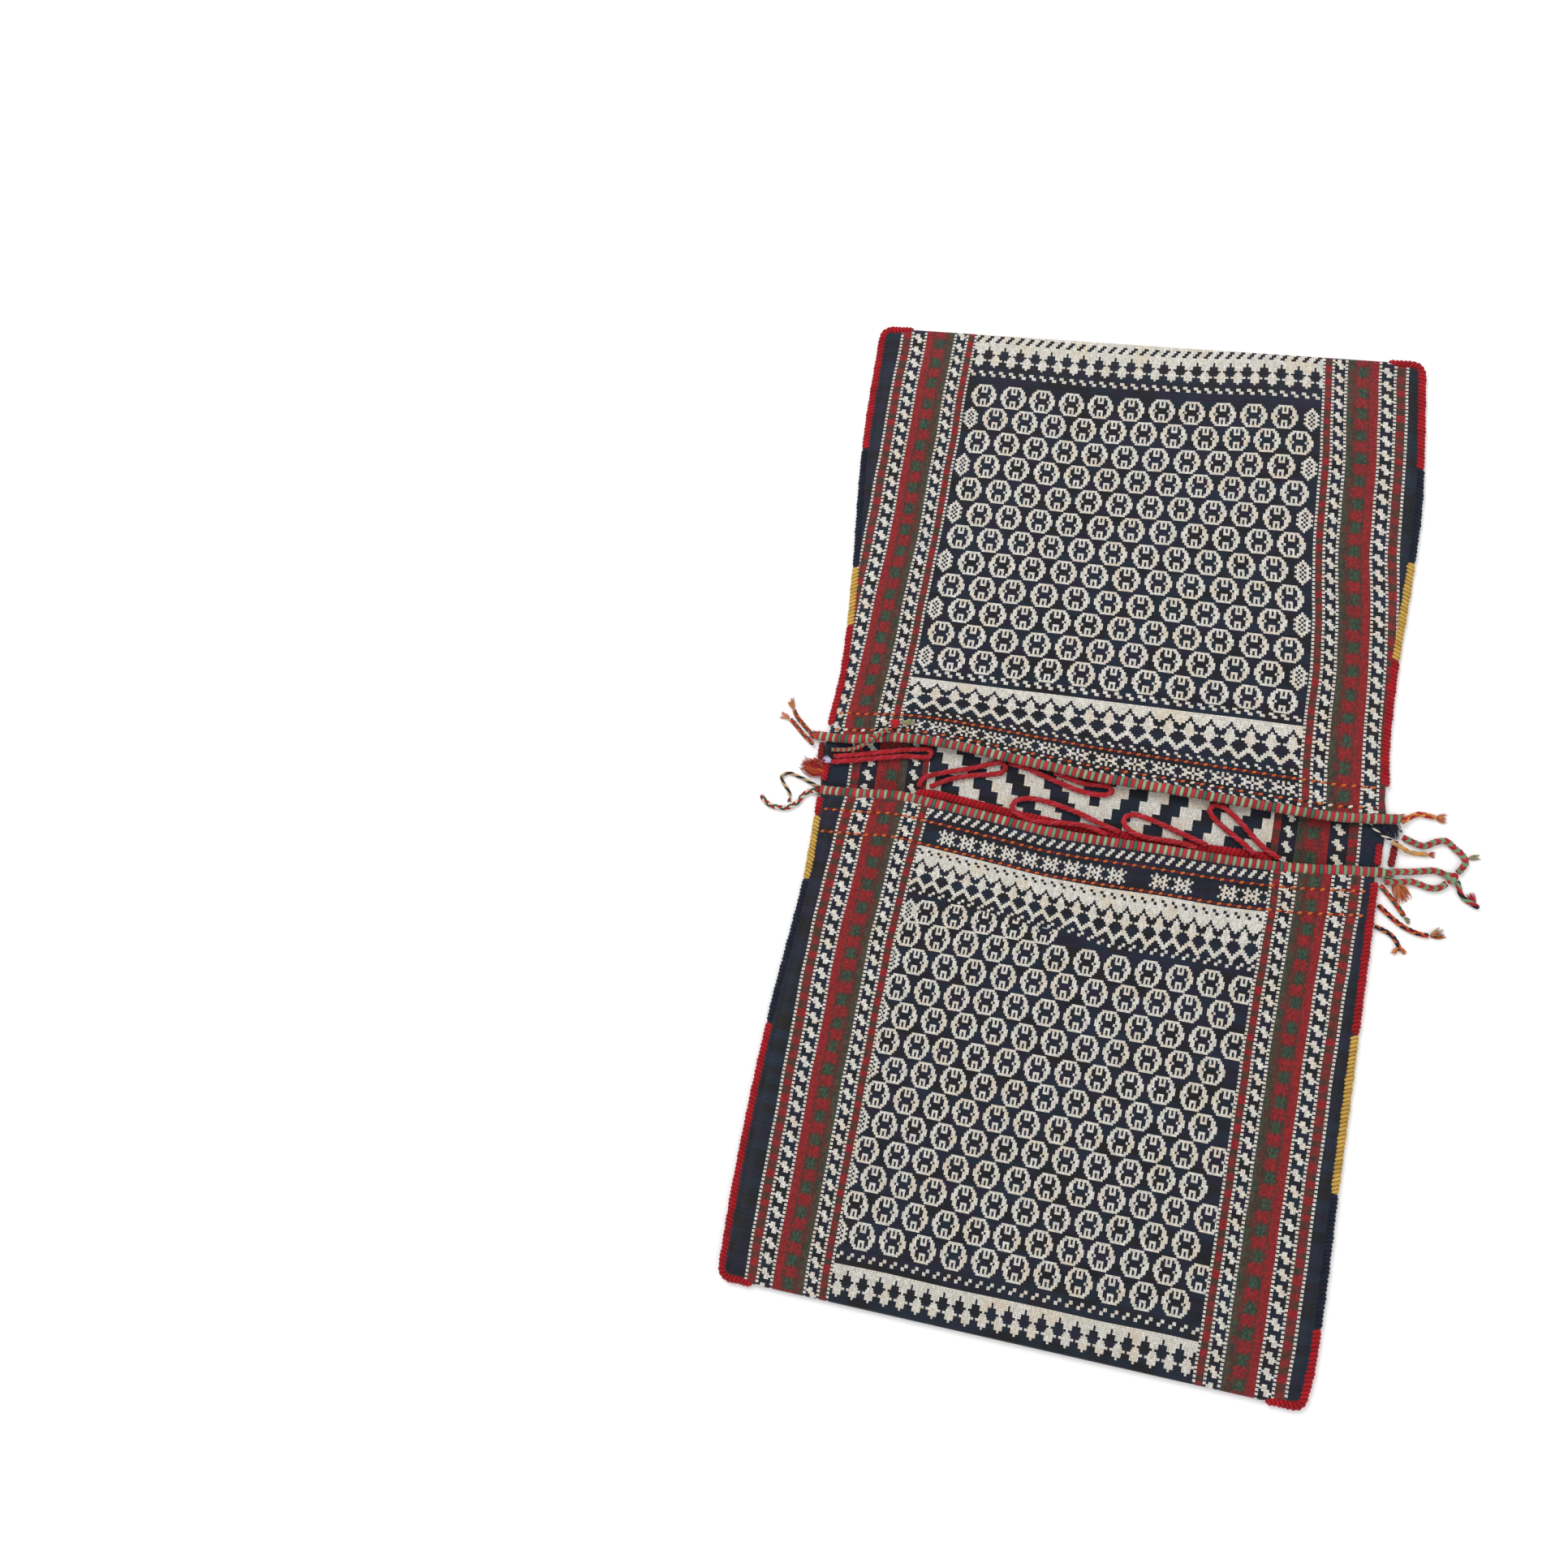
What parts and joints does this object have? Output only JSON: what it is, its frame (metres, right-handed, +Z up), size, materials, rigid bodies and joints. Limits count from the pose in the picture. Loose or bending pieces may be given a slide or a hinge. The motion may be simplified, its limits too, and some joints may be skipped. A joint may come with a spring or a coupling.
{
  "type": "kilim saddle bag",
  "caption": "Flat-lying wool saddle bag: one woven strip folded into two pouches on a shared back, with overcast sides, wrapped mouths, closure loops and braided tie ends.",
  "frame": {"origin": "on the surface that the bag lies on, under the middle of the bag itself without its loose cords", "axes": "+X across the bag, +Y along it from the lower pouch to the upper pouch, +Z up out of the patterned faces"},
  "size_m": [0.7027, 1.0182, 0.022],
  "materials": {
    "woven_cloth": "matt wool flatweave, navy ground with cream, red and green weft patterning",
    "striped_wrap": "matt wool wrapping, rose red and sage green in turn",
    "red_wool": "matt overcast wool",
    "navy_wool": "matt overcast wool",
    "yellow_wool": "matt overcast wool",
    "loop_wool": "matt plied wool cord",
    "braid_red_green": "matt braided wool, red and sage green",
    "braid_dark": "matt braided wool, near-black with orange and white",
    "braid_orange": "matt braided wool, orange and red",
    "sage_yarn": "matt loose yarn",
    "tan_yarn": "matt loose yarn",
    "orange_yarn": "matt loose yarn"
  },
  "bodies": {
    "root": {"bag_cloth": "woven_cloth", "fray_navy_right": "navy_wool", "fray_red_left": "red_wool", "knot_right": "braid_red_green", "knot_wrap_tail": "red_wool", "loop_a": "loop_wool", "loop_b": "loop_wool", "loop_band": "loop_wool", "loop_c": "loop_wool", "loop_d": "loop_wool", "loop_e": "loop_wool", "loop_f": "loop_wool", "mouth_wrap_lower": "striped_wrap", "mouth_wrap_upper": "striped_wrap", "overcast_back_left": "red_wool", "overcast_back_left_top": "red_wool", "overcast_back_right": "red_wool", "overcast_loose_right": "red_wool", "overcast_lower_left_corner_red": "red_wool", "overcast_lower_left_mouth_red": "red_wool", "overcast_lower_left_navy": "navy_wool", "overcast_lower_left_yellow": "yellow_wool", "overcast_lower_right_corner_red": "red_wool", "overcast_lower_right_mouth_red": "red_wool", "overcast_lower_right_navy": "navy_wool", "overcast_lower_right_yellow": "yellow_wool", "overcast_upper_left_corner_red": "red_wool", "overcast_upper_left_mouth_red": "red_wool", "overcast_upper_left_navy": "navy_wool", "overcast_upper_left_yellow": "yellow_wool", "overcast_upper_right_corner_red": "red_wool", "overcast_upper_right_mouth_red": "red_wool", "overcast_upper_right_navy": "navy_wool", "overcast_upper_right_yellow": "yellow_wool", "tie_braid_left": "braid_red_green", "tie_dark_right": "braid_dark", "tie_eye_lower_right": "braid_red_green", "tie_eye_upper_right": "braid_red_green", "tie_fringed_right": "braid_red_green", "tie_link_right": "braid_red_green", "tie_orange_left_a": "braid_orange", "tie_orange_left_b": "braid_orange", "tie_orange_right": "braid_orange", "tie_short_right": "braid_dark", "tie_tan_right": "braid_orange", "tie_tan_tip_right": "braid_orange", "tie_thin_left": "braid_dark", "tie_twist_right": "braid_dark", "tie_wrap_tail": "braid_red_green", "tuft_dark_right": "orange_yarn", "tuft_link_right": "sage_yarn", "tuft_orange_left_a": "orange_yarn", "tuft_orange_left_b": "orange_yarn", "tuft_orange_right": "orange_yarn", "tuft_tan_right": "orange_yarn", "tuft_tan_tip_right": "tan_yarn", "tuft_tassel_right": "orange_yarn", "tuft_thin_left": "orange_yarn", "tuft_wrap_tail": "sage_yarn"}
  },
  "joints": []
}
